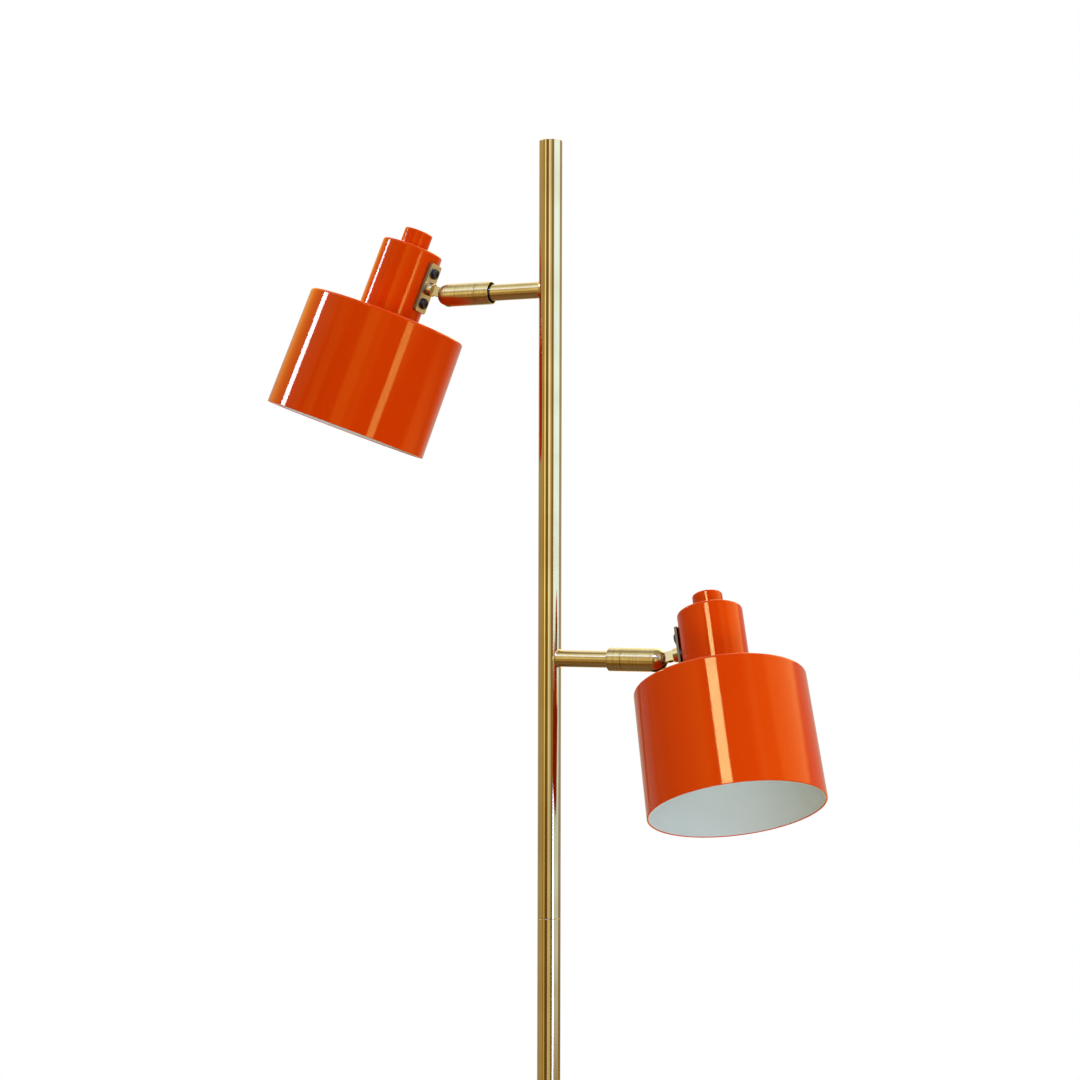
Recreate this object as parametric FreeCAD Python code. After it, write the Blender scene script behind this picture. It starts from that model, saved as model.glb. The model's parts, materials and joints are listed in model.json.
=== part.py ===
import FreeCAD, Part
import math
import os
from FreeCAD import Vector as V

# Standing lamp with one slim brass pole and two short side arms. Each arm ends
# in a swivel and tilt knuckle that carries a three-step cylindrical shade.
# Units are millimetres. Origin: centre of the base's underside, on the pole
# axis. +Z is up, the lower arm points along +X and the upper arm along -X.

# ---------------------------------------------------------------- dimensions
TOTAL_H = 1500.0          # floor to the pole's top end

# base
BASE_R = 135.0            # cover, outer radius
BASE_EDGE_R = 7.0         # rounded upper rim of the cover
BASE_SIDE_H = 20.0        # height of the cover's rim
BASE_TOP_H = 25.0         # height of the cover at the centre
COVER_T = 1.2             # sheet thickness of the cover
PAD_R = 131.0
PAD_T = 2.0
WEIGHT_R = 128.0
WEIGHT_T = 13.5
CORD_Z = 8.8              # height of the cord inlet
CORD_R = 3.75             # hole for the cord

# pole
POLE_R = 8.0
POLE_WALL = 1.2
SEAM_LOW = 480.0          # lower and middle section meet here
SEAM_HIGH = 961.2         # middle and upper section meet here
SOCKET_R = 13.0           # turned socket on the base
SOCKET_TOP = 44.0

# arms, measured outwards from the pole axis
ARM_Z_UPPER = 1396.5
ARM_Z_LOWER = 1140.3
ARM_R = 5.75
ARM_WALL = 1.0
ARM_END = 48.4            # end of the arm's tube, inside the collar
COLLAR_START = 46.2
COLLAR_END = 55.9
KNUCKLE_START = 56.1
KNUCKLE_R = 8.0
PIN_T = 79.5              # tilt pin, also the centre of the knuckle's dome
SLOT_W = 4.6              # width of the knuckle's slot
SLOT_ROOT = 77.6
TONGUE_W = 4.4
TONGUE_H = 6.8
PIN_R = 1.5

# head, in its own frame: origin at the tilt pin, U from the pin to the shade's
# axis, W along the shade's axis towards the cap, V across
AXIS_U = 41.9
MOUTH_W = -115.1
SHOULDER_W = -28.0
NECK_TOP_W = 24.85
CAP_TOP_W = 37.35
MOUTH_R = 59.13
SHOULDER_R = 57.75
NECK_R = 22.23
CAP_R = 10.3
SHADE_T = 1.2
PLATE_L = 36.0
PLATE_WD = 14.6
PLATE_T = 1.9
SCREW_W = 11.3            # plate screws above and below the tongue

# pose of the heads at rest (degrees): swivel about the arm, tilt at the pin
UPPER_SWIVEL, UPPER_TILT = 7.98, 18.80
LOWER_SWIVEL, LOWER_TILT = 19.12, 14.94

GAP = 0.05                # sliding and assembly clearance

# ---------------------------------------------------------------- helpers
os.makedirs("parts", exist_ok=True)
made = []


def save(name, shape):
    """Write one node; shape is one solid or a list of separate solids."""
    solids = shape if isinstance(shape, list) else [shape]
    flat = []
    for s in solids:
        flat.extend(s.Solids)
    for s in flat:
        if not s.isValid():
            raise RuntimeError("invalid solid in " + name)
    out = flat[0] if len(flat) == 1 else Part.Compound(flat)
    out.exportStep("parts/" + name + ".step")
    made.append((name, len(flat), sum(s.Volume for s in flat)))


def cyl(r, z0, z1):
    return Part.makeCylinder(r, z1 - z0, V(0, 0, z0), V(0, 0, 1))


def ring(r_out, r_in, z0, z1):
    return cyl(r_out, z0, z1).cut(cyl(r_in, z0 - 1, z1 + 1))


def lathe(points):
    """Revolve a closed outline of (radius, height) points about Z. A point
    with a third value is rounded with that radius."""
    n = len(points)
    edges = []
    ends = []
    for i, p in enumerate(points):
        P = V(p[0], 0, p[1])
        if len(p) > 2 and p[2] > 0:
            A = V(points[i - 1][0], 0, points[i - 1][1])
            B = V(points[(i + 1) % n][0], 0, points[(i + 1) % n][1])
            da = (A - P).normalize()
            db = (B - P).normalize()
            half = da.getAngle(db) / 2.0
            back = p[2] / math.tan(half)
            mid = (da + db).normalize()
            centre = P + mid * (p[2] / math.sin(half))
            ends.append((P + da * back, centre - mid * p[2], P + db * back))
        else:
            ends.append((P, None, P))
    for i in range(n):
        a, m, b = ends[i]
        if m is not None:
            edges.append(Part.Arc(a, m, b).toShape())
        nxt = ends[(i + 1) % n][0]
        if (b - nxt).Length > 1e-7:
            edges.append(Part.LineSegment(b, nxt).toShape())
    face = Part.Face(Part.Wire(edges))
    return face.revolve(V(0, 0, 0), V(0, 0, 1), 360)


def prism(sides, across_flats, z0, z1):
    r = across_flats / 2.0 / math.cos(math.pi / sides)
    pts = [V(r * math.cos(2 * math.pi * k / sides), r * math.sin(2 * math.pi * k / sides), z0)
           for k in range(sides)]
    return Part.Face(Part.makePolygon(pts + [pts[0]])).extrude(V(0, 0, z1 - z0))


def frame(origin, x, y, z):
    m = FreeCAD.Matrix(x.x, y.x, z.x, origin.x,
                       x.y, y.y, z.y, origin.y,
                       x.z, y.z, z.z, origin.z,
                       0, 0, 0, 1)
    return FreeCAD.Placement(m)


def placed(shape, placement):
    s = shape.copy()
    s.Placement = placement.multiply(s.Placement)
    return s


def turned(shape, axis, angle, centre=V(0, 0, 0)):
    s = shape.copy()
    s.rotate(centre, axis, angle)
    return s


def moved(shape, x=0.0, y=0.0, z=0.0):
    s = shape.copy()
    s.translate(V(x, y, z))
    return s


# ---------------------------------------------------------------- base
save("base_pad", lathe([(0, 0), (PAD_R, 0, 0.3), (PAD_R, PAD_T), (0, PAD_T)]))

weight = lathe([(0, PAD_T), (WEIGHT_R, PAD_T, 1.0), (WEIGHT_R, PAD_T + WEIGHT_T, 2.5), (0, PAD_T + WEIGHT_T)])
weight = weight.cut(cyl(5.2, -1, 40)).cut(cyl(14.0, PAD_T - 1, PAD_T + 7.0))
# radial channel for the supply wire, from the inlet to the centre
channel = Part.makeBox(14.0, WEIGHT_R + 4.0, 20.0, V(-7.0, 0, 4.2))
weight = weight.cut(channel.cut(cyl(14.0, -1, 9.2)))
save("base_weight", weight)

top_z = BASE_TOP_H
cover_out = lathe([(0, 0.9), (BASE_R, 0.9, 0.4), (BASE_R, BASE_SIDE_H, BASE_EDGE_R),
                   (18.0, top_z, 60.0), (0, top_z)])
cover_in = lathe([(0, -5.0), (BASE_R - COVER_T, -5.0), (BASE_R - COVER_T, BASE_SIDE_H - COVER_T, BASE_EDGE_R - COVER_T),
                  (18.0, top_z - COVER_T, 60.0), (0, top_z - COVER_T)])
cover = cover_out.cut(cover_in).cut(cyl(5.2, 10, 60))
inlet_axis = Part.makeCylinder(5.6, 20.0, V(0, BASE_R - 10.0, CORD_Z), V(0, 1, 0))
cover = cover.cut(inlet_axis)
save("base_cover", cover)

# flanged bush in the cover's rim, through which the supply cord enters
bush = lathe([(CORD_R, -4.2, 0.5), (6.6, -4.2, 0.4), (6.6, -1.9), (5.5, -1.9), (5.5, 0.55), (6.6, 0.55), (6.6, 2.6, 1.0),
              (CORD_R, 2.6, 0.8)])
bush_at = frame(V(0, BASE_R - 0.15, CORD_Z), V(1, 0, 0), V(0, 0, -1), V(0, 1, 0))
cover_block = cover_out.cut(cyl(BASE_R - COVER_T, -5, 60))
save("cord_bush", placed(bush, bush_at).cut(cover_block.cut(inlet_axis)))

# spacer under the cover's middle, hollow rod, nuts and washer
save("base_spacer", ring(12.0, 5.2, PAD_T + WEIGHT_T + 0.02, top_z - COVER_T - 0.02).cut(
    Part.makeBox(7.0, 30.0, 20.0, V(-3.5, 0, 4.2))))
save("base_rod", ring(5.0, 3.4, 3.4, 61.0))
save("base_washer", ring(11.0, 5.2, PAD_T + 5.0, PAD_T + 6.98))
save("base_nut", prism(6, 15.0, PAD_T + 1.6, PAD_T + 4.95).cut(cyl(5.03, -1, 40)))

socket = lathe([(5.03, top_z + 0.02), (SOCKET_R + 4.0, top_z + 0.02, 0.4), (SOCKET_R + 4.0, top_z + 2.4, 0.8),
                (SOCKET_R, top_z + 3.2, 1.2), (SOCKET_R, SOCKET_TOP, 1.4), (POLE_R + GAP, SOCKET_TOP, 0.4),
                (POLE_R + GAP, top_z + 6.0), (5.03, top_z + 6.0)])
grub_hole = Part.makeCylinder(2.0, 20.0, V(0, POLE_R, 37.0), V(0, 1, 0))
save("pole_socket", socket.cut(grub_hole))
grub = Part.makeCylinder(1.97, 5.3, V(0, 0, 0), V(0, 0, 1)).cut(prism(6, 2.0, 3.0, 6.0))
save("socket_grub_screw", placed(grub, frame(V(0, POLE_R + 0.06, 37.0), V(1, 0, 0), V(0, 0, -1), V(0, 1, 0))))

# ---------------------------------------------------------------- pole
POLE_IN = POLE_R - POLE_WALL


def pole_section(z0, z1):
    return lathe([(POLE_IN, z0), (POLE_R, z0, 0.25), (POLE_R, z1, 0.25), (POLE_IN, z1)])


POLE_FOOT = top_z + 6.05
save("pole_lower", pole_section(POLE_FOOT, SEAM_LOW - 0.03))
save("pole_middle", pole_section(SEAM_LOW + 0.03, SEAM_HIGH - 0.03))
upper_tube = pole_section(SEAM_HIGH + 0.03, TOTAL_H)
for z, side in ((ARM_Z_UPPER, -1), (ARM_Z_LOWER, 1)):
    upper_tube = upper_tube.cut(Part.makeCylinder(3.6, 20.0, V(0, 0, z), V(side, 0, 0)))
save("pole_upper", upper_tube)


def coupler(z):
    """Threaded joining piece inside two tube ends, with a wire way."""
    return lathe([(3.6, z - 21.0, 0.4), (POLE_IN - GAP, z - 21.0, 0.8), (POLE_IN - GAP, z + 21.0, 0.8),
                  (3.6, z + 21.0, 0.4)])


save("pole_coupler_lower", coupler(SEAM_LOW))
save("pole_coupler_upper", coupler(SEAM_HIGH))
# foot piece that joins the lowest tube to the hollow rod
save("pole_foot_insert", lathe([(5.03, POLE_FOOT + 0.1), (POLE_IN - GAP, POLE_FOOT + 0.1, 0.4),
                                (POLE_IN - GAP, POLE_FOOT + 32.0, 0.8), (5.03, POLE_FOOT + 32.0)]))
save("pole_top_plug", lathe([(0, TOTAL_H - 9.0), (POLE_IN - GAP, TOTAL_H - 9.0, 0.8), (POLE_IN - GAP, TOTAL_H - 0.05, 0.3),
                             (0, TOTAL_H - 0.05)]))

# ---------------------------------------------------------------- arms


def arm_parts(prefix, z, side, swivel, tilt):
    # arm frame: local Z runs outwards along the arm
    out = V(side, 0, 0)
    s = math.radians(swivel)
    up = V(0, math.sin(s), math.cos(s))        # in the knuckle's slot plane
    across = out.cross(up)                     # along the tilt pin
    fixed = frame(V(0, 0, z), V(0, 0, 1), out.cross(V(0, 0, 1)), out)
    turning = frame(V(0, 0, z), up, across, out)
    # side tube, coped to the pole and with a small brazed fillet at its foot
    r = ARM_R
    tube = lathe([(r - ARM_WALL, 3.0), (r + 1.5, 3.0), (r + 1.5, 6.55), (r, 8.15, 2.2), (r, ARM_END, 0.2), (r - ARM_WALL, ARM_END)])
    tube = tube.cut(Part.makeCylinder(POLE_R + 0.02, 60.0, V(-30, 0, 0), V(1, 0, 0)))
    tube = max(tube.Solids, key=lambda q: q.Volume)
    save(prefix + "_arm_tube", placed(tube, fixed))

    # collar fixed on the tube; its web carries the hollow swivel screw
    collar = lathe([(ARM_R + 0.95, COLLAR_START), (KNUCKLE_R, COLLAR_START, 0.35), (KNUCKLE_R, COLLAR_END, 0.25), (4.05, COLLAR_END),
                    (4.05, 52.4), (ARM_R + GAP, 52.4), (ARM_R + GAP, 47.8), (ARM_R + 0.95, 47.8)])
    save(prefix + "_swivel_collar", placed(collar, fixed))
    save(prefix + "_swivel_washer", placed(ring(5.5, 4.15, 51.88, 52.34), fixed))
    screw = lathe([(2.5, 49.4), (5.1, 49.4, 0.3), (5.1, 51.8), (4.0, 51.8), (4.0, 63.8, 0.4), (2.5, 63.8)])
    save(prefix + "_swivel_screw", placed(screw, turning))

    # knuckle: round body with a domed end, slotted for the tongue
    body = lathe([(0, KNUCKLE_START), (KNUCKLE_R, KNUCKLE_START, 0.25), (KNUCKLE_R, PIN_T), (0, PIN_T)])
    body = body.fuse(Part.makeSphere(KNUCKLE_R, V(0, 0, PIN_T))).removeSplitter()
    body = body.cut(cyl(4.0 + 0.02, 50.0, 64.2)).cut(cyl(2.5, 50.0, PIN_T))
    slot = Part.makeBox(40.0, SLOT_W, 30.0, V(-20.0, -SLOT_W / 2, SLOT_ROOT))
    slot = slot.fuse(Part.makeCylinder(4.0, SLOT_W, V(0, -SLOT_W / 2, PIN_T), V(0, 1, 0)))
    body = body.cut(slot).cut(Part.makeCylinder(PIN_R + 0.01, 40.0, V(0, -20.0, PIN_T), V(0, 1, 0)))
    body = max(body.Solids, key=lambda q: q.Volume)
    save(prefix + "_knuckle", placed(body, turning))
    pin = Part.makeCylinder(PIN_R, 40.0, V(0, -20.0, PIN_T), V(0, 1, 0))
    pin = pin.common(Part.makeSphere(KNUCKLE_R - 0.03, V(0, 0, PIN_T)))
    save(prefix + "_tilt_pin", placed(pin, turning))

    # head frame
    t = math.radians(tilt)
    U = out * math.cos(t) + up * math.sin(t)
    W = up * math.cos(t) - out * math.sin(t)
    X = W.cross(U)
    Q = V(0, 0, z) + out * PIN_T
    head = frame(Q, U, X, W)
    on_axis = frame(Q + U * AXIS_U, U, X, W)

    # tongue with flange and hollow threaded shank, all one turned piece
    plate_u0 = AXIS_U - NECK_R - 0.06 - PLATE_T
    stem = Part.makeBox(plate_u0 - 2.0, TONGUE_W, TONGUE_H, V(0, -TONGUE_W / 2, -TONGUE_H / 2))
    stem = stem.fuse(Part.makeCylinder(TONGUE_H / 2, TONGUE_W, V(0, -TONGUE_W / 2, 0), V(0, 1, 0)))
    turned_part = lathe([(0, plate_u0 - 4.4), (4.9, plate_u0 - 4.4, 0.5), (4.9, plate_u0 - 0.02, 0.3), (4.0, plate_u0 - 0.02), (4.0, 26.2, 0.5),
                         (0, 26.2)])
    along_u = frame(V(0, 0, 0), V(0, 1, 0), V(0, 0, 1), V(1, 0, 0))
    stem = stem.fuse(placed(turned_part, along_u)).removeSplitter()
    stem = stem.cut(Part.makeCylinder(2.2, 20.0, V(10.4, 0, 0), V(1, 0, 0)))
    stem = stem.cut(Part.makeCylinder(1.6, 20.0, V(10.4, 0, -10.0), V(0, 0, 1)))
    stem = stem.cut(Part.makeCylinder(PIN_R + GAP, 10.0, V(0, -5, 0), V(0, 1, 0)))
    save(prefix + "_tongue", placed(stem, head))

    # flat plate that ties the tongue to the shade's neck
    plate = Part.makeBox(PLATE_T, PLATE_WD, PLATE_L, V(plate_u0, -PLATE_WD / 2, -PLATE_L / 2))
    corners = [e for e in plate.Edges if abs(e.Vertexes[0].Point.y - e.Vertexes[-1].Point.y) < 1e-6
               and abs(e.Vertexes[0].Point.z - e.Vertexes[-1].Point.z) < 1e-6]
    plate = plate.makeFillet(1.6, corners)
    plate = plate.cut(Part.makeCylinder(4.03, 20.0, V(10, 0, 0), V(1, 0, 0)))
    for w in (-SCREW_W, SCREW_W):
        plate = plate.cut(Part.makeCylinder(2.1, 20.0, V(10, 0, w), V(1, 0, 0)))
    save(prefix + "_bracket_plate", placed(plate, head))

    screws, nuts = [], []
    for w in (-SCREW_W, SCREW_W):
        at = frame(V(plate_u0 - 0.02, 0, w), V(0, 1, 0), V(0, 0, -1), V(-1, 0, 0))
        pan = lathe([(0, 0), (3.95, 0, 0.2), (3.95, 2.5, 1.3), (0, 2.5)])
        shank = cyl(1.95, -10.2, 0.5)
        cross = Part.makeBox(4.6, 0.9, 2.0, V(-2.3, -0.45, 1.3)).fuse(Part.makeBox(0.9, 4.6, 2.0, V(-0.45, -2.3, 1.3)))
        one = pan.fuse(shank).removeSplitter().cut(cross)
        screws.append(placed(placed(one, at), head))
        nut = prism(6, 7.0, -9.6, -6.6).cut(cyl(1.98, -20, 5))
        nuts.append(placed(placed(nut, at), head))
    save(prefix + "_plate_screws", screws)
    save(prefix + "_plate_nuts", nuts)
    save(prefix + "_stud_nut", placed(placed(prism(6, 12.0, 22.9, 25.6).cut(cyl(4.03, 0, 40)), along_u), head))

    # shade: wide body, shoulder and neck spun from one sheet
    T = SHADE_T
    k = (MOUTH_R - SHOULDER_R) / (SHOULDER_W - MOUTH_W)   # draft of the body's side
    shade = lathe([
        (MOUTH_R, MOUTH_W, 0.45), (SHOULDER_R, SHOULDER_W, 1.9), (NECK_R, SHOULDER_W, 3.2),
        (NECK_R, NECK_TOP_W, 1.7), (5.1, NECK_TOP_W), (5.1, NECK_TOP_W - T), (NECK_R - T, NECK_TOP_W - T, 0.6),
        (NECK_R - T, SHOULDER_W - T, 4.3), (SHOULDER_R - T + k * T, SHOULDER_W - T, 0.8), (MOUTH_R - T, MOUTH_W, 0.45)])
    holes = Part.makeCylinder(4.2, 30.0, V(10, 0, 0), V(1, 0, 0))
    for w in (-SCREW_W, SCREW_W):
        holes = holes.fuse(Part.makeCylinder(2.1, 30.0, V(10, 0, w), V(1, 0, 0)))
    save(prefix + "_shade", placed(placed(shade, frame(V(AXIS_U, 0, 0), V(1, 0, 0), V(0, 1, 0), V(0, 0, 1))).cut(holes), head))

    # cap screwed on the hollow rod, which hides the lampholder's nut
    c0 = NECK_TOP_W + 0.04
    cap = lathe([(CAP_R, c0, 0.3), (CAP_R, CAP_TOP_W, 1.3), (0, CAP_TOP_W), (0, 34.2), (5.03, 34.2), (5.03, 28.6), (6.8, 28.6), (6.8, CAP_TOP_W - 1.2),
                 (CAP_R - 1.2, CAP_TOP_W - 1.2), (CAP_R - 1.2, c0)])
    save(prefix + "_shade_cap", placed(cap, on_axis))
    save(prefix + "_holder_rod", placed(ring(5.0, 3.4, 8.6, 34.0), on_axis))
    save(prefix + "_holder_nut", placed(prism(6, 14.0, NECK_TOP_W + 0.05, NECK_TOP_W + 3.05).cut(cyl(5.03, 0, 60)), on_axis))
    side_hole = Part.makeCylinder(2.4, 20.0, V(-4.0, 0, 19.0), V(-1, 0, 0))
    holder = lathe([(5.03, 22.6), (5.03, 12.0), (8.6, 12.0), (8.6, -2.0), (8.05, -2.0), (8.05, -30.6), (7.2, -30.6), (7.2, -33.5, 0.3), (13.4, -33.5, 0.8),
                    (13.4, -2.0), (12.6, 0.0), (12.6, 13.0, 3.0), (9.0, 22.6)])
    save(prefix + "_lampholder", placed(holder.cut(side_hole), on_axis))
    save(prefix + "_holder_core", placed(lathe([(0, -2.6), (5.5, -2.6), (5.5, -5.0), (7.9, -5.0), (7.9, 1.9), (8.55, 1.9), (8.55, 6.0), (0, 6.0)]).cut(
        cyl(1.5, -10, 20)), on_axis))
    save(prefix + "_socket_liner", placed(ring(8.0, 7.0, -30.55, -5.05), on_axis))
    save(prefix + "_centre_contact", placed(lathe([(0, -4.6), (2.6, -4.6, 0.4), (2.6, -2.65), (1.45, -2.65), (1.45, 4.0), (0, 4.0)]), on_axis))
    print(prefix, "pin", tuple(round(c, 3) for c in Q), "U", tuple(round(c, 5) for c in U), "W", tuple(round(c, 5) for c in W),
          "pin axis", tuple(round(c, 5) for c in across))


arm_parts("upper", ARM_Z_UPPER, -1, UPPER_SWIVEL, UPPER_TILT)
arm_parts("lower", ARM_Z_LOWER, 1, LOWER_SWIVEL, LOWER_TILT)

for name, count, volume in made:
    print(f"{name:24s} solids {count}  volume {volume:10.1f} mm3")
print(len(made), "nodes")
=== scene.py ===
import json
import math

import bpy
import bmesh
import numpy as np
from mathutils import Matrix, Vector


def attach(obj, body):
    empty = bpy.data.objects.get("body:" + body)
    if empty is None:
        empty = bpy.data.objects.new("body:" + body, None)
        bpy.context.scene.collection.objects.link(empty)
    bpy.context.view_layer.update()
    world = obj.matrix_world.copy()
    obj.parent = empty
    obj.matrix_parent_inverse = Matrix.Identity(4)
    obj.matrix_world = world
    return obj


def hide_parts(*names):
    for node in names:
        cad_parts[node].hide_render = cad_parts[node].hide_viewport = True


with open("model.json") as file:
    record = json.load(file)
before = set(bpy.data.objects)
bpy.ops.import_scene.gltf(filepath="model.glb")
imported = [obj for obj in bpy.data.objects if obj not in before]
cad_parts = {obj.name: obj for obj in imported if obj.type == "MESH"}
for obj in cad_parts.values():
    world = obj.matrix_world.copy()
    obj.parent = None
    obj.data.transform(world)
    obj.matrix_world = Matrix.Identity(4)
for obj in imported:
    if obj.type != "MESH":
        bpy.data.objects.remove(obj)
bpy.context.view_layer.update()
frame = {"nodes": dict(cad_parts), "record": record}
scene = bpy.context.scene
NODES = frame["nodes"]

# ------------------------------------------------------------------ camera
cam_data = bpy.data.cameras.new("camera")
cam_data.sensor_fit = "HORIZONTAL"
cam_data.sensor_width = 36.0
cam_data.lens = 36.0 * 2176.0 / 1080.0
cam_data.clip_start, cam_data.clip_end = 0.05, 60.0
cam = bpy.data.objects.new("camera", cam_data)
scene.collection.objects.link(cam)
scene.camera = cam
CAM = Vector((0.63343, -1.36923, 1.19220))
yaw, pitch, roll = math.radians(0.1666), math.radians(1.1406), math.radians(0.1430)
th = math.radians(24.92)
to_cam = Vector((math.sin(th), -math.cos(th), 0.0))      # level, from the pole to the camera
to_right = Vector((math.cos(th), math.sin(th), 0.0))     # level, to the right in the picture
level = -(to_cam * math.cos(yaw) + to_right * math.sin(yaw))
right = level.cross(Vector((0, 0, 1))).normalized()
look = (level * math.cos(pitch) + Vector((0, 0, 1)) * math.sin(pitch)).normalized()
up = right.cross(look)
cam_r = right * math.cos(roll) + up * math.sin(roll)
cam_u = up * math.cos(roll) - right * math.sin(roll)
cam.matrix_world = Matrix((
    (cam_r.x, cam_u.x, -look.x, CAM.x),
    (cam_r.y, cam_u.y, -look.y, CAM.y),
    (cam_r.z, cam_u.z, -look.z, CAM.z),
    (0, 0, 0, 1)))

scene.view_settings.view_transform = "Standard"
scene.view_settings.look = "None"

# ------------------------------------------------------------------ node helpers


class Tree:
    """Small helper that adds nodes to a node tree and links values or sockets."""

    def __init__(self, tree):
        self.t = tree
        for n in list(tree.nodes):
            tree.nodes.remove(n)

    def put(self, socket, value):
        if isinstance(value, bpy.types.NodeSocket):
            self.t.links.new(value, socket)
        elif value is not None:
            socket.default_value = value

    def add(self, kind, props=None, **inputs):
        n = self.t.nodes.new(kind)
        for k, v in (props or {}).items():
            setattr(n, k, v)
        for k, v in inputs.items():
            key = k.replace("_", " ")
            self.put(n.inputs[key] if key in n.inputs else n.inputs[int(k[1:])], v)
        return n

    def math(self, op, a, b=None, c=None, clamp=False):
        n = self.t.nodes.new("ShaderNodeMath")
        n.operation = op
        n.use_clamp = clamp
        for i, x in enumerate((a, b, c)):
            if x is not None:
                self.put(n.inputs[i], x)
        return n.outputs[0]

    def smooth(self, x, lo, hi, a=0.0, b=1.0):
        n = self.t.nodes.new("ShaderNodeMapRange")
        n.interpolation_type = "SMOOTHSTEP"
        n.clamp = True
        for i, v in enumerate((x, lo, hi, a, b)):
            self.put(n.inputs[i], v)
        return n.outputs[0]

    def linear(self, x, lo, hi, a=0.0, b=1.0):
        n = self.t.nodes.new("ShaderNodeMapRange")
        n.clamp = True
        for i, v in enumerate((x, lo, hi, a, b)):
            self.put(n.inputs[i], v)
        return n.outputs[0]

    def mix(self, f, a, b, blend="MIX"):
        n = self.t.nodes.new("ShaderNodeMix")
        n.data_type = "RGBA"
        n.blend_type = blend
        self.put(n.inputs[0], f)
        self.put(n.inputs[6], a)
        self.put(n.inputs[7], b)
        return n.outputs[2]

    def noise(self, vec, scale, detail=2.0, rough=0.5):
        n = self.t.nodes.new("ShaderNodeTexNoise")
        self.put(n.inputs["Vector"], vec)
        n.inputs["Scale"].default_value = scale
        n.inputs["Detail"].default_value = detail
        n.inputs["Roughness"].default_value = rough
        return n.outputs[0]

    def scaled(self, vec, sx, sy, sz):
        n = self.t.nodes.new("ShaderNodeVectorMath")
        n.operation = "MULTIPLY"
        self.put(n.inputs[0], vec)
        n.inputs[1].default_value = (sx, sy, sz)
        return n.outputs[0]

    def bump(self, height, strength, distance, normal=None):
        n = self.t.nodes.new("ShaderNodeBump")
        n.inputs["Strength"].default_value = strength
        n.inputs["Distance"].default_value = distance
        self.put(n.inputs["Height"], height)
        if normal is not None:
            self.put(n.inputs["Normal"], normal)
        return n.outputs[0]


def rgb(r, g, b):
    return (r, g, b, 1.0)


# ------------------------------------------------------------------ studio
# The studio around the object, as seen from the pole: soft panels on a brown surround.
# azimuth from, to (degrees round the pole, 0 towards the camera, positive to its right), elevation from, to,
# soft edge in azimuth and elevation, lean (degrees of azimuth per degree of elevation), colour, level
PANELS = [
    (-42, 34, 22, 70, 8, 6, 0, (1.0, 0.90, 0.70), 0.80),
    (-181, -122, -35, 12, 6, 6, 0, (1.0, 0.90, 0.70), 0.62),
    (-170, -104, 14, 42, 5, 4, 0, (1.0, 0.50, 0.08), 1.9),
    (-117, -69, -30, 12, 3, 4, 0, (1.0, 0.78, 0.36), 0.72),
    (-68, -61, -35, 24, 1.5, 4, 0, (1.0, 0.70, 0.10), 0.50),
    (-59.5, -46.5, -30, -4, 1.2, 4, 0, (1.0, 0.72, 0.28), 0.95),
    (-59.5, -46.5, -4, 18, 1.2, 4, 0, (1.0, 0.93, 0.54), 1.95),
    (-44, -19, -35, -4, 2.0, 4, 0, (1.0, 0.66, 0.10), 0.20),
    (-44, -19, -4, 20, 2.0, 4, 0, (1.0, 0.64, 0.08), 0.33),
    (-17, -1, -22, -4, 1.8, 4, 0, (1.0, 1.0, 0.68), 1.02),
    (-17, -1, -4, 14, 1.8, 4, 0, (1.0, 1.10, 0.95), 1.80),
    (-1, 12, -22, 14, 1.8, 4, 0, (1.0, 0.90, 0.60), 1.02),
    (14, 31, -32, 18, 2, 4, 0, (1.0, 0.66, 0.26), 0.42),
    (35, 104, -12, -4, 2, 2, 0, (0.85, 1.10, 1.35), 1.25),
    (35, 104, -4, 27, 2, 4, 0, (0.80, 1.13, 1.66), 2.0),
    (33, 41.5, -24, -12, 1.0, 1.2, 0, (1.0, 1.0, 0.9), 4.3),
    (48, 72, 27, 50, 5, 5, 0, (1.0, 0.80, 0.35), 1.9),
    (70, 181, 16, 46, 4, 3, 0, (1.0, 0.78, 0.32), 3.5),
    (107, 181, -8, 15, 4, 4, 0, (1.0, 0.93, 0.72), 0.62),
    (95, 181, -40, -15, 6, 3, 0, (1.0, 0.66, 0.15), 1.8),
]
AMBIENT = [(-90, (0.38, 0.32, 0.27)), (-60, (0.34, 0.23, 0.13)), (-38, (0.28, 0.155, 0.03)), (-12, (0.36, 0.20, 0.035)), (0, (0.50, 0.31, 0.08)),
           (13, (0.80, 0.62, 0.26)), (26, (1.10, 1.02, 0.68)), (38, (1.80, 2.0, 1.85)), (52, (1.60, 1.85, 1.70)), (66, (0.70, 0.66, 0.50)),
           (78, (0.50, 0.46, 0.38)), (90, (0.70, 0.70, 0.64))]
world = bpy.data.worlds.new("studio")
scene.world = world
world.use_nodes = True
world.cycles.sampling_method = "NONE"
w = Tree(world.node_tree)
coord = w.add("ShaderNodeTexCoord").outputs["Generated"]
dirn = w.add("ShaderNodeVectorMath", {"operation": "NORMALIZE"}, _0=coord).outputs[0]


def along(vec, axis):
    n = w.add("ShaderNodeVectorMath", {"operation": "DOT_PRODUCT"}, _0=vec)
    n.inputs[1].default_value = axis
    return n.outputs["Value"]


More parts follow.
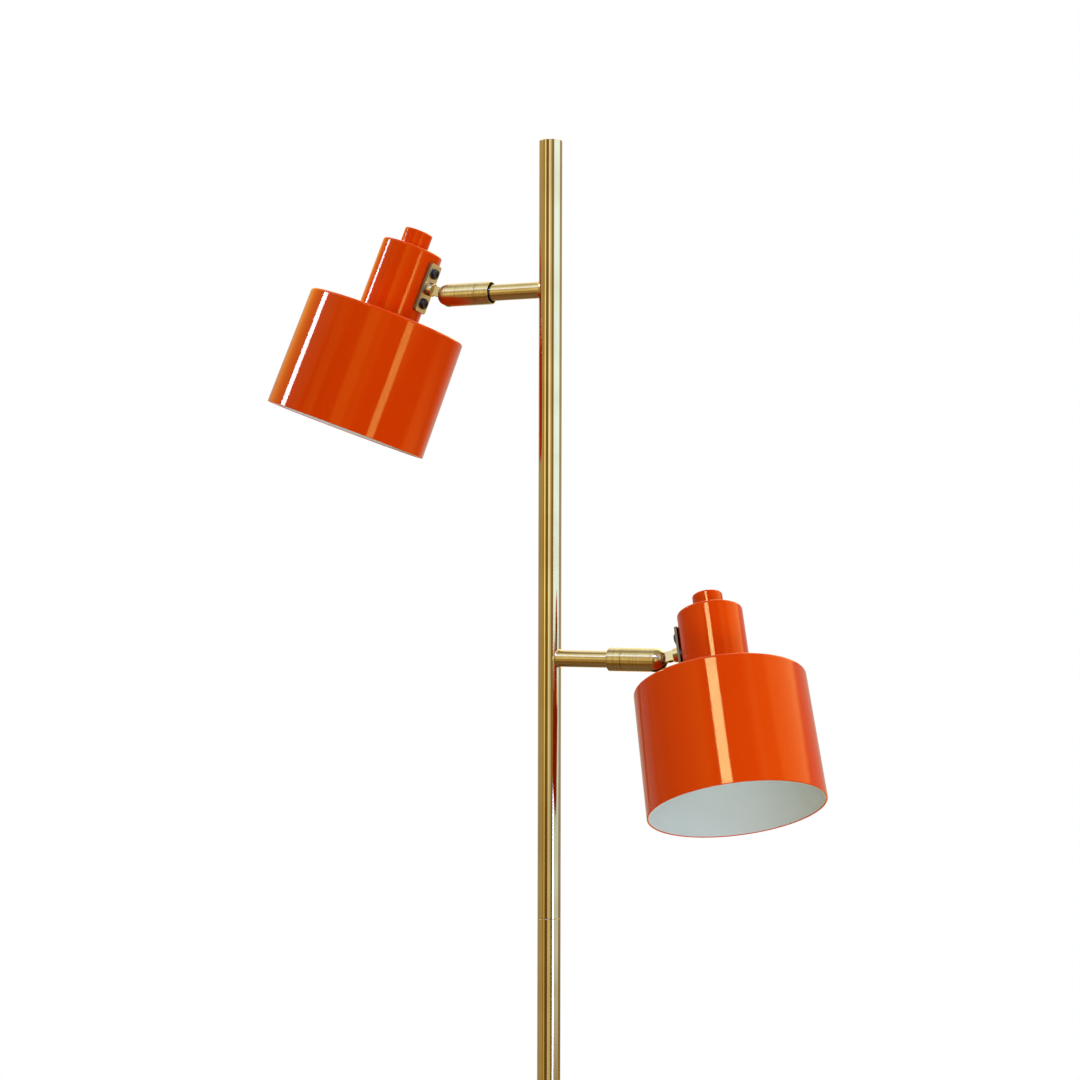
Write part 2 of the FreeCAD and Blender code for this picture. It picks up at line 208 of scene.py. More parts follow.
azimuth = w.math("MULTIPLY", w.math("ARCTAN2", along(dirn, to_right), along(dirn, to_cam)), 180 / math.pi)
elev = w.math("MULTIPLY", w.math("ARCSINE", along(dirn, (0, 0, 1))), 180 / math.pi)
ramp = w.add("ShaderNodeValToRGB", _0=w.linear(elev, -90, 90))
while len(ramp.color_ramp.elements) < len(AMBIENT):
    ramp.color_ramp.elements.new(0.5)
for e, (deg, c) in zip(ramp.color_ramp.elements, AMBIENT):
    e.position = (deg + 90) / 180
    e.color = rgb(*c)
light = ramp.outputs[0]
path = w.add("ShaderNodeLightPath")
shown = path.outputs["Is Camera Ray"]
for a0, a1, e0, e1, sa, se, lean, col, lev in PANELS:
    az = azimuth
    if lean:
        az = w.math("SUBTRACT", azimuth, w.math("MULTIPLY", w.math("SUBTRACT", elev, 21.65), lean))
    m = w.math("MULTIPLY", w.smooth(az, a0 - sa, a0 + sa), w.smooth(az, a1 - sa, a1 + sa, 1.0, 0.0))
    m = w.math("MULTIPLY", m, w.math("MULTIPLY", w.smooth(elev, e0 - se, e0 + se), w.smooth(elev, e1 - se, e1 + se, 1.0, 0.0)))
    light = w.mix(m, light, rgb(*[c * lev for c in col]))
bg_light = w.add("ShaderNodeBackground", Color=light, Strength=w.linear(path.outputs["Is Diffuse Ray"], 0.0, 1.0, 1.0, 0.50))
bg_white = w.add("ShaderNodeBackground", Color=rgb(1, 1, 1), Strength=1.0)
both = w.add("ShaderNodeMixShader", _0=shown, _1=bg_light.outputs[0], _2=bg_white.outputs[0])
w.add("ShaderNodeOutputWorld", Surface=both.outputs[0])


def area_light(name, where, at, size_x, size_y, power, colour):
    data = bpy.data.lights.new(name, "AREA")
    data.shape = "RECTANGLE"
    data.size, data.size_y = size_x, size_y
    data.energy = power
    data.color = colour
    ob = bpy.data.objects.new(name, data)
    ob.location = where
    ob.rotation_euler = (Vector(at) - Vector(where)).to_track_quat("-Z", "Y").to_euler()
    ob.visible_camera = False
    ob.visible_glossy = False
    scene.collection.objects.link(ob)
    return ob


area_light("top_soft", (0.3, -0.4, 3.2), (0, 0, 0.0), 2.4, 2.4, 26.0, (1.0, 0.99, 0.97))
front = to_cam * 2.5 + to_right * 0.8
area_light("low_fill", (front.x, front.y, 0.45), (0.1, 0, 1.1), 1.8, 0.8, 29.0, (0.78, 0.92, 1.06))

# floor: pale disc that fades out towards its rim
fl = bpy.data.meshes.new("floor")
bm = bmesh.new()
rings = [0.0, 0.5, 1.0, 2.0, 3.3]
last = [bm.verts.new((0, 0, 0))]
for r in rings[1:]:
    cur = [bm.verts.new((r * math.cos(a), r * math.sin(a), 0)) for a in np.linspace(0, 2 * math.pi, 96, endpoint=False)]
    for i in range(96):
        j = (i + 1) % 96
        bm.faces.new((last[0], cur[i], cur[j]) if len(last) == 1 else (last[i], cur[i], cur[j], last[j]))
    last = cur
bm.to_mesh(fl)
bm.free()
floor = bpy.data.objects.new("floor", fl)
scene.collection.objects.link(floor)
floor.visible_glossy = False
fm = bpy.data.materials.new("floor_pale")
fm.use_nodes = True
t = Tree(fm.node_tree)
co = t.add("ShaderNodeTexCoord").outputs["Object"]
rad = t.add("ShaderNodeVectorMath", {"operation": "LENGTH"}, _0=co).outputs["Value"]
tone = t.mix(t.noise(co, 3.0, 3.0), rgb(0.745, 0.775, 0.84), rgb(0.775, 0.805, 0.87))
pb = t.add("ShaderNodeBsdfPrincipled", Base_Color=tone, Roughness=0.75)
tr = t.add("ShaderNodeBsdfTransparent")
mx = t.add("ShaderNodeMixShader", _0=t.smooth(rad, 1.1, 2.35), _1=pb.outputs[0], _2=tr.outputs[0])
t.add("ShaderNodeOutputMaterial", Surface=mx.outputs[0])
fl.materials.append(fm)

# ------------------------------------------------------------------ materials


def material(name):
    m = bpy.data.materials.new(name)
    m.use_nodes = True
    return m, Tree(m.node_tree)


def finish_mat(t, **sockets):
    bsdf = t.add("ShaderNodeBsdfPrincipled")
    for k, v in sockets.items():
        t.put(bsdf.inputs[k.replace("_", " ")], v)
    t.add("ShaderNodeOutputMaterial", Surface=bsdf.outputs[0])
    return bsdf


def brass(name, colour, rough, grain, freq=2600.0, depth=0.000008, strength=0.35, patina=0.10, axis=None, lines=0.0):
    """Lacquered brass. grain is (sx, sy, sz): how fast the brushing changes along each axis; axis blurs reflections along it."""
    m, t = material(name)
    co = t.add("ShaderNodeTexCoord").outputs["Object"]
    fine = t.noise(t.scaled(co, *grain), freq, 2.0, 0.6)
    broad = t.noise(t.scaled(co, *grain), freq * 0.21, 2.0, 0.5)
    cloud = t.noise(co, 26.0, 4.0, 0.55)
    speck = t.noise(co, 900.0, 2.0, 0.5)
    r, g, b = colour
    tone = t.mix(t.smooth(cloud, 0.36, 0.68), rgb(r, g, b), rgb(r * (1 - patina), g * (1 - patina * 1.3), b * (1 - patina * 1.9)))
    tone = t.mix(t.linear(broad, 0.35, 0.7, 0.0, 0.30 + lines), tone, rgb(r * 0.80, g * 0.77, b * 0.70))
    if lines:
        tone = t.mix(t.linear(fine, 0.42, 0.62, 0.0, lines), tone, rgb(r * 0.62, g * 0.58, b * 0.48))
    tone = t.mix(t.smooth(speck, 0.70, 0.78, 0.0, 0.35), tone, rgb(r * 0.45, g * 0.38, b * 0.28))
    rr = t.math("ADD", t.linear(fine, 0.3, 0.7, rough * 0.82, rough * 1.22), t.linear(cloud, 0.3, 0.7, -0.015, 0.02))
    height = t.math("ADD", fine, t.math("MULTIPLY", broad, 1.6))
    bsdf = finish_mat(t, Base_Color=tone, Metallic=1.0, Roughness=rr, Normal=t.bump(height, strength, depth))
    if axis:
        turn = t.add("ShaderNodeVectorTransform", {"vector_type": "VECTOR", "convert_from": "OBJECT", "convert_to": "WORLD"})
        turn.inputs[0].default_value = axis
        t.put(bsdf.inputs["Tangent"], turn.outputs[0])
        bsdf.inputs["Anisotropic"].default_value = 1.0
    return m


BRASS = (0.52, 0.405, 0.225)
m_pole = brass("brass_pole", BRASS, 0.078, (1.0, 1.0, 0.012), 2200.0, 0.0000004, 0.05, axis=(0, 0, 1))
m_arm = brass("brass_arm", (0.52, 0.40, 0.215), 0.165, (1.0, 1.0, 0.02), 2400.0, 0.000001, 0.2, axis=(0, 0, 1))
m_turned = brass("brass_turned", (0.53, 0.415, 0.235), 0.165, (1.0, 0.02, 0.02), 1700.0, 0.000001, 0.2, axis=(1, 0, 0), lines=0.35)
m_collar = brass("brass_collar", (0.53, 0.415, 0.235), 0.165, (0.02, 0.02, 1.0), 1700.0, 0.000001, 0.2, axis=(0, 0, 1), lines=0.45)
m_plate = brass("brass_plate_brushed", (0.55, 0.505, 0.42), 0.34, (0.05, 1.0, 0.05), 3000.0, 0.000003, 0.4, 0.06)
# dark brass for the plate's edges, hole walls and back: painted shade for the shadowed gap beside the neck
m_edge_painted_shade = brass("brass_edge_painted_shade", (0.16, 0.115, 0.06), 0.32, (0.05, 1.0, 0.05), 2600.0, 0.000003, 0.4, 0.2)
m_tongue = brass("brass_tongue", (0.54, 0.43, 0.26), 0.20, (1.0, 1.0, 1.0), 1500.0, 0.000002, 0.3, 0.08)

# base: fine rings around the pole
m_base, t = material("brass_base")
co = t.add("ShaderNodeTexCoord").outputs["Object"]
flat = t.scaled(co, 1.0, 1.0, 0.0)
rad = t.add("ShaderNodeVectorMath", {"operation": "LENGTH"}, _0=flat).outputs["Value"]
zed = t.add("ShaderNodeSeparateXYZ", _0=co).outputs[2]
turn = t.add("ShaderNodeCombineXYZ", _0=rad, _1=zed).outputs[0]
fine = t.noise(turn, 2600.0, 2.0, 0.6)
broad = t.noise(turn, 420.0, 2.0, 0.5)
cloud = t.noise(co, 14.0, 4.0, 0.55)
tone = t.mix(t.smooth(cloud, 0.35, 0.7), rgb(0.50, 0.42, 0.285), rgb(0.45, 0.37, 0.235))
tone = t.mix(t.linear(broad, 0.35, 0.7, 0.0, 0.25), tone, rgb(0.43, 0.35, 0.22))
finish_mat(t, Base_Color=tone, Metallic=1.0, Roughness=t.math("ADD", t.linear(fine, 0.3, 0.7, 0.20, 0.30), t.linear(cloud, 0.3, 0.7, -0.02, 0.03)),
           Normal=t.bump(t.math("ADD", fine, broad), 0.4, 0.000008))

# orange gloss enamel with a faint orange peel
m_orange, t = material("enamel_orange")
co = t.add("ShaderNodeTexCoord").outputs["Object"]
peel = t.noise(co, 330.0, 2.0, 0.45)
wave = t.noise(co, 62.0, 2.0, 0.4)
drift = t.noise(co, 9.0, 3.0, 0.5)
nib = t.noise(co, 1500.0, 1.0, 0.5)
tone = t.mix(t.linear(drift, 0.3, 0.7), rgb(0.70, 0.046, 0.0006), rgb(0.67, 0.040, 0.0005))
tone = t.mix(t.smooth(nib, 0.74, 0.80, 0.0, 0.4), tone, rgb(0.45, 0.015, 0.0005))
height = t.math("ADD", t.math("MULTIPLY", peel, 0.35), wave)
b = finish_mat(t, Base_Color=tone, Roughness=t.linear(wave, 0.3, 0.7, 0.045, 0.075), Normal=t.bump(height, 0.10, 0.00035))
b.inputs["IOR"].default_value = 1.50
b.inputs["Specular Tint"].default_value = rgb(1.0, 0.58, 0.045)
b.inputs["Specular IOR Level"].default_value = 0.28

# matt white inside of the shades
m_white, t = material("enamel_white")
co = t.add("ShaderNodeTexCoord").outputs["Object"]
grain = t.noise(co, 1400.0, 3.0, 0.6)
drift = t.noise(co, 18.0, 3.0, 0.5)
tone = t.mix(t.linear(drift, 0.3, 0.7), rgb(0.80, 0.83, 0.80), rgb(0.75, 0.775, 0.74))
tone = t.mix(t.smooth(grain, 0.62, 0.75, 0.0, 0.25), tone, rgb(0.60, 0.58, 0.52))
finish_mat(t, Base_Color=tone, Roughness=t.linear(grain, 0.3, 0.7, 0.66, 0.80), Normal=t.bump(grain, 0.3, 0.00003)).inputs["Specular IOR Level"].default_value = 0.25

# blackened screws
m_black, t = material("steel_black")
co = t.add("ShaderNodeTexCoord").outputs["Object"]
grain = t.noise(co, 2200.0, 3.0, 0.6)
wear = t.noise(co, 420.0, 3.0, 0.6)
tone = t.mix(t.smooth(wear, 0.60, 0.74, 0.0, 0.5), rgb(0.012, 0.012, 0.014), rgb(0.10, 0.095, 0.09))
finish_mat(t, Base_Color=tone, Metallic=0.35, Roughness=t.linear(grain, 0.3, 0.7, 0.24, 0.40), Normal=t.bump(grain, 0.3, 0.00001))

# zinc plated steel for nuts, rods and washers
m_zinc, t = material("steel_zinc")
co = t.add("ShaderNodeTexCoord").outputs["Object"]
grain = t.noise(co, 1800.0, 3.0, 0.6)
cloud = t.noise(co, 120.0, 3.0, 0.6)
tone = t.mix(t.linear(cloud, 0.3, 0.7), rgb(0.62, 0.62, 0.62), rgb(0.48, 0.49, 0.50))
finish_mat(t, Base_Color=tone, Metallic=1.0, Roughness=t.linear(grain, 0.3, 0.7, 0.28, 0.42), Normal=t.bump(grain, 0.25, 0.00001))

# rough casting
m_iron, t = material("iron_cast")
co = t.add("ShaderNodeTexCoord").outputs["Object"]
grain = t.noise(co, 700.0, 4.0, 0.65)
rust = t.noise(co, 40.0, 4.0, 0.6)
tone = t.mix(t.smooth(rust, 0.5, 0.72, 0.0, 0.6), rgb(0.075, 0.075, 0.078), rgb(0.14, 0.085, 0.05))
finish_mat(t, Base_Color=tone, Metallic=0.6, Roughness=t.linear(grain, 0.3, 0.7, 0.6, 0.8), Normal=t.bump(grain, 0.6, 0.0002))

# rubber pad and bush
m_rubber, t = material("rubber_black")
co = t.add("ShaderNodeTexCoord").outputs["Object"]
grain = t.noise(co, 1300.0, 3.0, 0.6)
dust = t.noise(co, 60.0, 4.0, 0.6)
tone = t.mix(t.smooth(dust, 0.5, 0.75, 0.0, 0.5), rgb(0.022, 0.022, 0.023), rgb(0.06, 0.058, 0.055))
finish_mat(t, Base_Color=tone, Roughness=t.linear(grain, 0.3, 0.7, 0.6, 0.8), Normal=t.bump(grain, 0.4, 0.00005))

# moulded lampholder
m_holder, t = material("plastic_holder")
co = t.add("ShaderNodeTexCoord").outputs["Object"]
grain = t.noise(co, 1700.0, 2.0, 0.6)
cloud = t.noise(co, 90.0, 3.0, 0.6)
tone = t.mix(t.linear(cloud, 0.3, 0.7), rgb(0.030, 0.029, 0.028), rgb(0.045, 0.043, 0.041))
finish_mat(t, Base_Color=tone, Roughness=t.linear(grain, 0.3, 0.7, 0.33, 0.45), Normal=t.bump(grain, 0.3, 0.00003))

m_ceramic, t = material("ceramic_core")
co = t.add("ShaderNodeTexCoord").outputs["Object"]
grain = t.noise(co, 1200.0, 3.0, 0.6)
tone = t.mix(t.linear(grain, 0.3, 0.7), rgb(0.80, 0.79, 0.75), rgb(0.72, 0.70, 0.65))
finish_mat(t, Base_Color=tone, Roughness=t.linear(grain, 0.3, 0.7, 0.35, 0.55), Normal=t.bump(grain, 0.3, 0.00003))

m_contact = brass("brass_contact", (0.84, 0.66, 0.36), 0.20, (1.0, 1.0, 1.0), 1800.0, 0.000008, 0.3, 0.12)

BY_SLOT = {"brass_satin": m_arm, "brass_plate": m_plate, "orange_enamel": m_orange, "black_steel": m_black, "zinc_steel": m_zinc,
           "cast_iron": m_iron, "black_rubber": m_rubber, "holder_plastic": m_holder, "holder_ceramic": m_ceramic,
           "contact_brass": m_contact}
slot_of = {s["node"]: s["material_slot"] for s in frame["record"]["subparts"]}
for name, ob in NODES.items():
    mat = BY_SLOT[slot_of[name]]
    if name in ("base_cover", "pole_socket"):
        mat = m_base
    elif name.startswith("pole_") and slot_of[name] == "brass_satin":
        mat = m_pole
    elif name.endswith("_tongue"):
        mat = m_tongue
    elif name.endswith(("_knuckle", "_tilt_pin")):
        mat = m_turned
    for s in ob.material_slots:
        s.material = mat

# ------------------------------------------------------------------ turned meshes


def outline(points, arc_steps=10):
    """Closed outline of (radius, height[, rounding]) points -> list of (p0, p1, n0, n1, tag) spans with exact normals."""
    n = len(points)
    ends = []
    for i, p in enumerate(points):
        P = Vector((p[0], p[1]))
        rr = p[2] if len(p) > 2 else 0
        if rr:
            A = Vector(points[i - 1][:2])
            B = Vector(points[(i + 1) % n][:2])
            da, db = (A - P).normalized(), (B - P).normalized()
            half = da.angle(db) / 2.0
            back = rr / math.tan(half)
            centre = P + (da + db).normalized() * (rr / math.sin(half))
            ends.append((P + da * back, centre, P + db * back, rr))
        else:
            ends.append((P, None, P, 0))
    area = 0.0
    for i in range(n):
        a, b = points[i], points[(i + 1) % n]
        area += a[0] * b[1] - b[0] * a[1]
    s = 1.0 if area > 0 else -1.0
    spans = []
    for i in range(n):
        a, c, b, rr = ends[i]
        if c is not None:
            va, vb = a - c, b - c
            ang = va.angle(vb)
            sign = 1.0 if va.x * vb.y - va.y * vb.x > 0 else -1.0
            steps = max(3, int(arc_steps * ang / (math.pi / 2)))
            convex = sign * s > 0
            prev = None
            for k in range(steps + 1):
                u = sign * ang * k / steps
                d = Vector((va.x * math.cos(u) - va.y * math.sin(u), va.x * math.sin(u) + va.y * math.cos(u)))
                nn = d.normalized() * (1.0 if convex else -1.0)
                if prev is not None:
                    spans.append((prev[0], c + d, prev[1], nn, i))
                prev = (c + d, nn)
        nxt = ends[(i + 1) % n][0]
        if (b - nxt).length > 1e-7:
            d = (nxt - b).normalized()
            nn = Vector((d.y, -d.x)) * s
            spans.append((b, nxt, nn, nn, i + 0.5))
    return spans


def lathe(name, points, mats, pick=None, segments=192, arc_steps=10, long_step=None):
    """Turned body about local Z in metres from points in millimetres, with exact normals. pick(tag) gives the material index."""
    spans = outline(points, arc_steps)
    verts, faces, normals, index = [], [], [], []
    ring_of = {}
    ca = [math.cos(2 * math.pi * k / segments) for k in range(segments)]
    sa = [math.sin(2 * math.pi * k / segments) for k in range(segments)]

    def ring(p):
        key = (round(p.x, 5), round(p.y, 5))
        if key not in ring_of:
            if p.x < 1e-6:
                verts.append((0.0, 0.0, p.y / 1000))
                ring_of[key] = [len(verts) - 1] * segments
            else:
                base = len(verts)
                verts.extend((p.x * ca[k] / 1000, p.x * sa[k] / 1000, p.y / 1000) for k in range(segments))
                ring_of[key] = list(range(base, base + segments))
        return ring_of[key]

    cut = []
    for p0, p1, n0, n1, tag in spans:
        parts = 1
        if long_step and (p1 - p0).length > long_step:
            parts = int(math.ceil((p1 - p0).length / long_step))
        for q in range(parts):
            a, b = q / parts, (q + 1) / parts
            cut.append((p0.lerp(p1, a), p0.lerp(p1, b), n0 if parts == 1 else n0.lerp(n1, a), n1 if parts == 1 else n0.lerp(n1, b), tag))
    for p0, p1, n0, n1, tag in cut:
        if p0.x < 1e-6 and p1.x < 1e-6:
            continue
        r0, r1 = ring(p0), ring(p1)
        # winding so that the face normal agrees with the outline's outward normal
        mid = (n0 + n1) * 0.5
        d = p1 - p0
        flip = (d.y * mid.x - d.x * mid.y) < 0
        for k in range(segments):
            j = (k + 1) % segments
            quad = [(r0[k], n0, k), (r0[j], n0, j), (r1[j], n1, j), (r1[k], n1, k)]
            if p0.x < 1e-6:
                quad = [quad[0], quad[2], quad[3]]
            elif p1.x < 1e-6:
                quad = [quad[0], quad[1], quad[2]]
            if flip:
                quad.reverse()
            faces.append([v for v, _, _ in quad])
            normals.extend((nn.x * ca[kk], nn.x * sa[kk], nn.y) for _, nn, kk in quad)
            index.append(pick(tag) if pick else 0)
    me = bpy.data.meshes.new(name)
    me.from_pydata(verts, [], faces)
    me.update()
    for m in mats:
        me.materials.append(m)
    me.polygons.foreach_set("material_index", index)
    me.polygons.foreach_set("use_smooth", [True] * len(faces))
    me.normals_split_custom_set(normals)
    me.update()
    ob = bpy.data.objects.new(name, me)
    scene.collection.objects.link(ob)
    return ob


def place(ob, origin, x, y, z):
    """Puts a piece made about its local Z at a frame; origin in millimetres."""
    ob.matrix_world = Matrix(((x.x, y.x, z.x, origin.x / 1000), (x.y, y.y, z.y, origin.y / 1000), (x.z, y.z, z.z, origin.z / 1000), (0, 0, 0, 1)))
    return ob


# driving sizes, as in the construction model (millimetres)
TOTAL_H, POLE_R, POLE_IN = 1500.0, 8.0, 6.8
SEAM_LOW, SEAM_HIGH, POLE_FOOT = 480.0, 961.2, 31.05
AXIS_U, MOUTH_W, SHOULDER_W, NECK_TOP_W, CAP_TOP_W = 41.9, -115.1, -28.0, 24.85, 37.35
MOUTH_R, SHOULDER_R, NECK_R, CAP_R, SHADE_T = 59.13, 57.75, 22.23, 10.3, 1.2
HEADS = {
    "upper": dict(z=1396.5, side=-1, swivel=7.98, tilt=18.80),
    "lower": dict(z=1140.3, side=1, swivel=19.12, tilt=14.94),
}
for h in HEADS.values():
    out = Vector((h["side"], 0, 0))
    s = math.radians(h["swivel"])
    upv = Vector((0, math.sin(s), math.cos(s)))
    tt = math.radians(h["tilt"])
    h["out"], h["upv"], h["across"] = out, upv, out.cross(upv)
    h["U"] = out * math.cos(tt) + upv * math.sin(tt)
    h["W"] = upv * math.cos(tt) - out * math.sin(tt)
    h["X"] = h["W"].cross(h["U"])
    h["Q"] = Vector((0, 0, h["z"])) + out * 79.5

# far strip lamps that only show as reflections; each is set where a line along a shade mirrors it to the camera


def stripe(name, h, s, width, colour, level):
    """s is the line's place across the shade, -1 left edge to 1 right edge; width in degrees."""
    A, W = h["Q"] + h["U"] * AXIS_U, h["W"]
    v = (CAM - (A + W * -70.0) / 1000).normalized()
    n0 = (v - W * v.dot(W)).normalized()
    n1 = n0.cross(W)
    n1 = n1 if n1.dot(cam_r) > 0 else -n1
    n = n0 * math.sqrt(1 - s * s) + n1 * s

    def mirrored(w_, r):
        P = (A + W * w_ + n * r) / 1000
        d = (CAM - P).normalized()
        return (n * (2 * n.dot(d)) - d).normalized()

    d0, d1, d2 = mirrored(MOUTH_W, MOUTH_R), mirrored(SHOULDER_W, SHOULDER_R), mirrored(NECK_TOP_W, NECK_R)
    y = (d1 - d0).normalized()
    reach = max((d2 - d0).dot(y), (d1 - d0).dot(y))
    c = (d0 + y * (reach / 2)).normalized()
    y = (y - c * y.dot(c)).normalized()
    x = y.cross(c)
    far = 20.0
    tall, wide = far * (reach + 0.02), 2 * far * math.tan(math.radians(width) / 2)
    top = max(colour)
    data = bpy.data.lights.new(name, "AREA")
    data.shape = "RECTANGLE"
    data.size, data.size_y = wide, tall
    data.energy = level * top * math.pi * wide * tall
    data.color = [k / top for k in colour]
    ob = bpy.data.objects.new(name, data)
    ob.matrix_world = Matrix(((x.x, y.x, c.x, c.x * far), (x.y, y.y, c.y, c.y * far), (x.z, y.z, c.z, c.z * far + 1.2), (0, 0, 0, 1)))
    ob.visible_camera = False
    ob.visible_diffuse = False
    scene.collection.objects.link(ob)


stripe("stripe_upper_left", HEADS["upper"], -0.795, 9.5, (0.55, 0.95, 1.6), 30.0)
stripe("stripe_upper_soft", HEADS["upper"], 0.29, 10.0, (0.25, 0.40, 1.1), 24.0)
stripe("stripe_lower", HEADS["lower"], -0.06, 12.5, (0.50, 1.0, 4.2), 35.0)

# pole sections
for name, z0, z1 in (("pole_lower", POLE_FOOT, SEAM_LOW - 0.03), ("pole_middle", SEAM_LOW + 0.03, SEAM_HIGH - 0.03),
                     ("pole_upper", SEAM_HIGH + 0.03, TOTAL_H)):
    tube = lathe(name + "_tube", [(POLE_IN, z0), (POLE_R, z0, 0.25), (POLE_R, z1, 0.25), (POLE_IN, z1)], [m_pole], segments=128, arc_steps=4,
                 long_step=60.0)
    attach(tube, "stand")
    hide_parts(name)

# arm tubes with a brazed saddle where they meet the pole
ARM_R, ARM_IN, ARM_END = 5.75, 4.75, 48.4
COLLAR_0 = 45.4


def saddle_arm(name, segments=160):
    """Tube along local Z; its foot follows the pole's round surface (pole along local Y) and flares into it."""
    rows = []
    for k in range(segments):
        a = 2 * math.pi * k / segments
        cy, sz = math.cos(a), math.sin(a)

        def on_pole(r, sink=0.0):
            return math.sqrt((POLE_R - sink) ** 2 - (r * cy) ** 2)

        foot = on_pole(ARM_R)
        flare = 1.15 + 0.25 * math.sin(3 * a + 0.6) * abs(sz)
        tang = 1.5 + 0.3 * abs(sz)
        A, C = Vector((foot + tang, ARM_R)), Vector((foot, ARM_R))
        B = Vector((on_pole(ARM_R + flare, 0.04), ARM_R + flare))
        pts = [Vector((ARM_END, ARM_R - 0.3)), Vector((ARM_END - 0.3, ARM_R))]
        for i in range(1, 6):
            pts.append(Vector((ARM_END - 0.3 + (A.x - ARM_END + 0.3) * i / 6, ARM_R)))
        for i in range(0, 11):
            u = i / 10
            pts.append(A * (1 - u) ** 2 + C * 2 * u * (1 - u) + B * u * u)
        pts.append(Vector((on_pole(ARM_R, 0.06), ARM_R)))
        pts.append(Vector((on_pole(ARM_IN, 0.06), ARM_IN)))
        pts.append(Vector((ARM_END, ARM_IN)))
        rows.append([(p.y * cy / 1000, p.y * sz / 1000, p.x / 1000) for p in pts])
    n = len(rows[0])
    verts = [v for row in rows for v in row]
    faces = []
    for k in range(segments):
        j = (k + 1) % segments
        for i in range(n):
            q = [k * n + i, j * n + i, j * n + (i + 1) % n, k * n + (i + 1) % n]
            faces.append(q)
    me = bpy.data.meshes.new(name)
    me.from_pydata(verts, [], faces)
    me.update()
    bm = bmesh.new()
    bm.from_mesh(me)
    bmesh.ops.recalc_face_normals(bm, faces=bm.faces)
    bm.to_mesh(me)
    bm.free()
    me.polygons.foreach_set("use_smooth", [True] * len(faces))
    me.set_sharp_from_angle(angle=math.radians(38))
    me.materials.append(m_arm)
    ob = bpy.data.objects.new(name, me)
    scene.collection.objects.link(ob)
    return ob


for hn, h in HEADS.items():
    zed = Vector((0, 0, 1))
    arm = place(saddle_arm(hn + "_arm_saddle"), Vector((0, 0, h["z"])), zed.cross(h["out"]), zed, h["out"])
    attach(arm, "stand")
    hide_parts(hn + "_arm_tube")

# swivel collars: thin rim round the arm; the recess floor and wall are black steel as painted shade
for hn, h in HEADS.items():
    pts = [(7.35, COLLAR_0, 0.12), (8.0, COLLAR_0, 0.35), (8.0, 55.9, 0.25), (4.3, 55.9), (4.3, 51.8), (5.85, 51.8), (5.85, COLLAR_0 + 2.6), (7.35, COLLAR_0 + 2.6)]
    # the recess faces take the black steel: painted shade in the gap round the arm
    ring = lathe(hn + "_collar_ring", pts, [m_collar, m_black], pick=lambda tag: 1 if 5.9 < tag < 8 else 0, segments=128, arc_steps=6)
    place(ring, Vector((0, 0, h["z"])), zed.cross(h["out"]), zed, h["out"])
    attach(ring, "stand")
    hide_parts(hn + "_swivel_collar")

# bracket plates: brushed face; the edges, hole walls and back face are dark brass as painted shade
PLATE_L, PLATE_WD, PLATE_T, SCREW_W = 36.0, 14.6, 1.9, 11.3


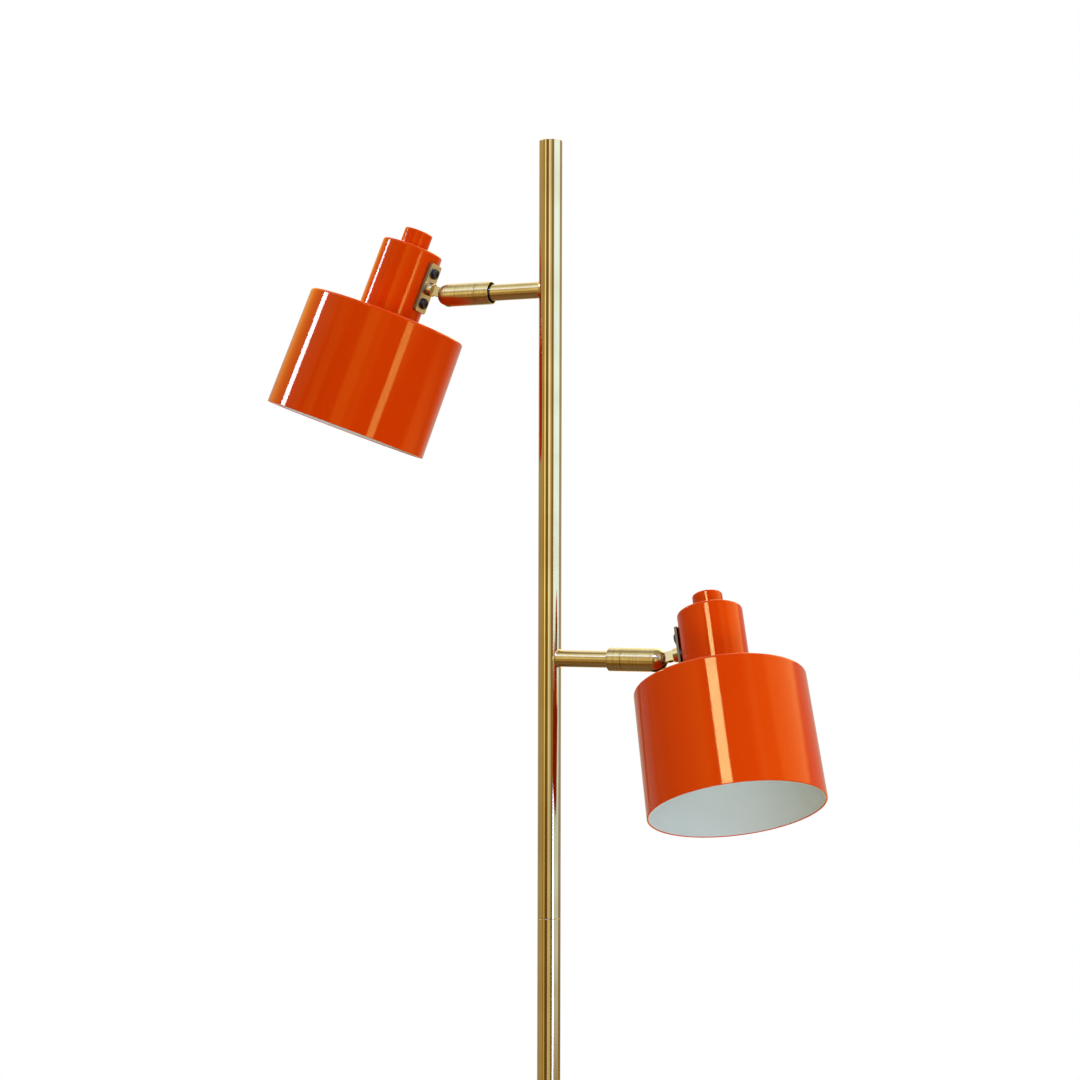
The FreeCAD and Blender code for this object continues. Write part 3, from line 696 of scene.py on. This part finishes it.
def flat_plate(name):
    """Plate across local Z (thickness), long way along local Y, with three holes, rounded corners and broken edges."""
    bm = bmesh.new()
    c, ring = 1.6, []
    for sx, sy, a0 in ((1, 1, 0), (-1, 1, 90), (-1, -1, 180), (1, -1, 270)):
        for i in range(9):
            a = math.radians(a0 + 90 * i / 8)
            ring.append((sx * (PLATE_WD / 2 - c) + c * math.cos(a), sy * (PLATE_L / 2 - c) + c * math.sin(a)))
    holes = [(0.0, 4.03), (SCREW_W, 2.1), (-SCREW_W, 2.1)]
    levels = [(0.0, 0.18), (0.18, 0.0), (PLATE_T - 0.18, 0.0), (PLATE_T, 0.18)]
    loops = []
    for z, inset in levels:
        k = []
        for x, y in ring:
            cx, cy = max(-PLATE_WD / 2 + c, min(PLATE_WD / 2 - c, x)), max(-PLATE_L / 2 + c, min(PLATE_L / 2 - c, y))
            f = (c - inset) / c
            k.append(bm.verts.new(((cx + (x - cx) * f) / 1000, (cy + (y - cy) * f) / 1000, z / 1000)))
        loops.append(k)
    for a, b in zip(loops, loops[1:]):
        for i in range(len(a)):
            j = (i + 1) % len(a)
            # edge faces take the second material, the dark brass painted as shade
            f = bm.faces.new((a[i], a[j], b[j], b[i]))
            f.material_index = 1
    walls = []
    for y, r in holes:
        pair = []
        for z in (0.0, PLATE_T):
            pair.append([bm.verts.new((r * math.cos(2 * math.pi * i / 48) / 1000, (y + r * math.sin(2 * math.pi * i / 48)) / 1000, z / 1000)) for i in range(48)])
        walls.append(pair)
        for i in range(48):
            j = (i + 1) % 48
            f = bm.faces.new((pair[0][j], pair[0][i], pair[1][i], pair[1][j]))
            f.material_index = 1
    # the back face (z = 0) takes the dark brass painted as shade, the outer face the brushed brass
    for side, outer in ((1, loops[0]), (0, loops[-1])):
        edges = []
        for k in [outer] + [w_[1 - side] for w_ in walls]:
            for i in range(len(k)):
                e = bm.edges.get((k[i], k[(i + 1) % len(k)])) or bm.edges.new((k[i], k[(i + 1) % len(k)]))
                edges.append(e)
        made = bmesh.ops.triangle_fill(bm, use_beauty=True, use_dissolve=False, edges=edges)
        for g in made["geom"]:
            if isinstance(g, bmesh.types.BMFace):
                g.material_index = side
    bmesh.ops.recalc_face_normals(bm, faces=bm.faces)
    me = bpy.data.meshes.new(name)
    bm.to_mesh(me)
    bm.free()
    me.materials.append(m_plate)
    me.materials.append(m_edge_painted_shade)
    ob = bpy.data.objects.new(name, me)
    scene.collection.objects.link(ob)
    return ob


for hn, h in HEADS.items():
    u0 = AXIS_U - NECK_R - 0.06 - PLATE_T
    piece = place(flat_plate(hn + "_plate_bevelled"), h["Q"] + h["U"] * (u0 + PLATE_T), h["X"], h["W"], -h["U"])
    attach(piece, hn + "_head")
    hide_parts(hn + "_bracket_plate")

# shades
for hn, h in HEADS.items():
    T = SHADE_T
    k = (MOUTH_R - SHOULDER_R) / (SHOULDER_W - MOUTH_W)
    pts = [(MOUTH_R, MOUTH_W, 0.45), (SHOULDER_R, SHOULDER_W, 1.9), (NECK_R, SHOULDER_W, 3.2),
           (NECK_R, NECK_TOP_W, 1.7), (5.1, NECK_TOP_W), (5.1, NECK_TOP_W - T), (NECK_R - T, NECK_TOP_W - T, 0.6),
           (NECK_R - T, SHOULDER_W - T, 4.3), (SHOULDER_R - T + k * T, SHOULDER_W - T, 0.8), (MOUTH_R - T, MOUTH_W, 0.45)]
    shell = lathe(hn + "_shade_shell", pts, [m_orange, m_white], pick=lambda tag: 1 if 4.9 < tag < 9 or tag == 8.5 else 0,
                  segments=256, arc_steps=12, long_step=8.0)
    place(shell, h["Q"] + h["U"] * AXIS_U, h["U"], h["X"], h["W"])
    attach(shell, hn + "_head")
    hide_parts(hn + "_shade")
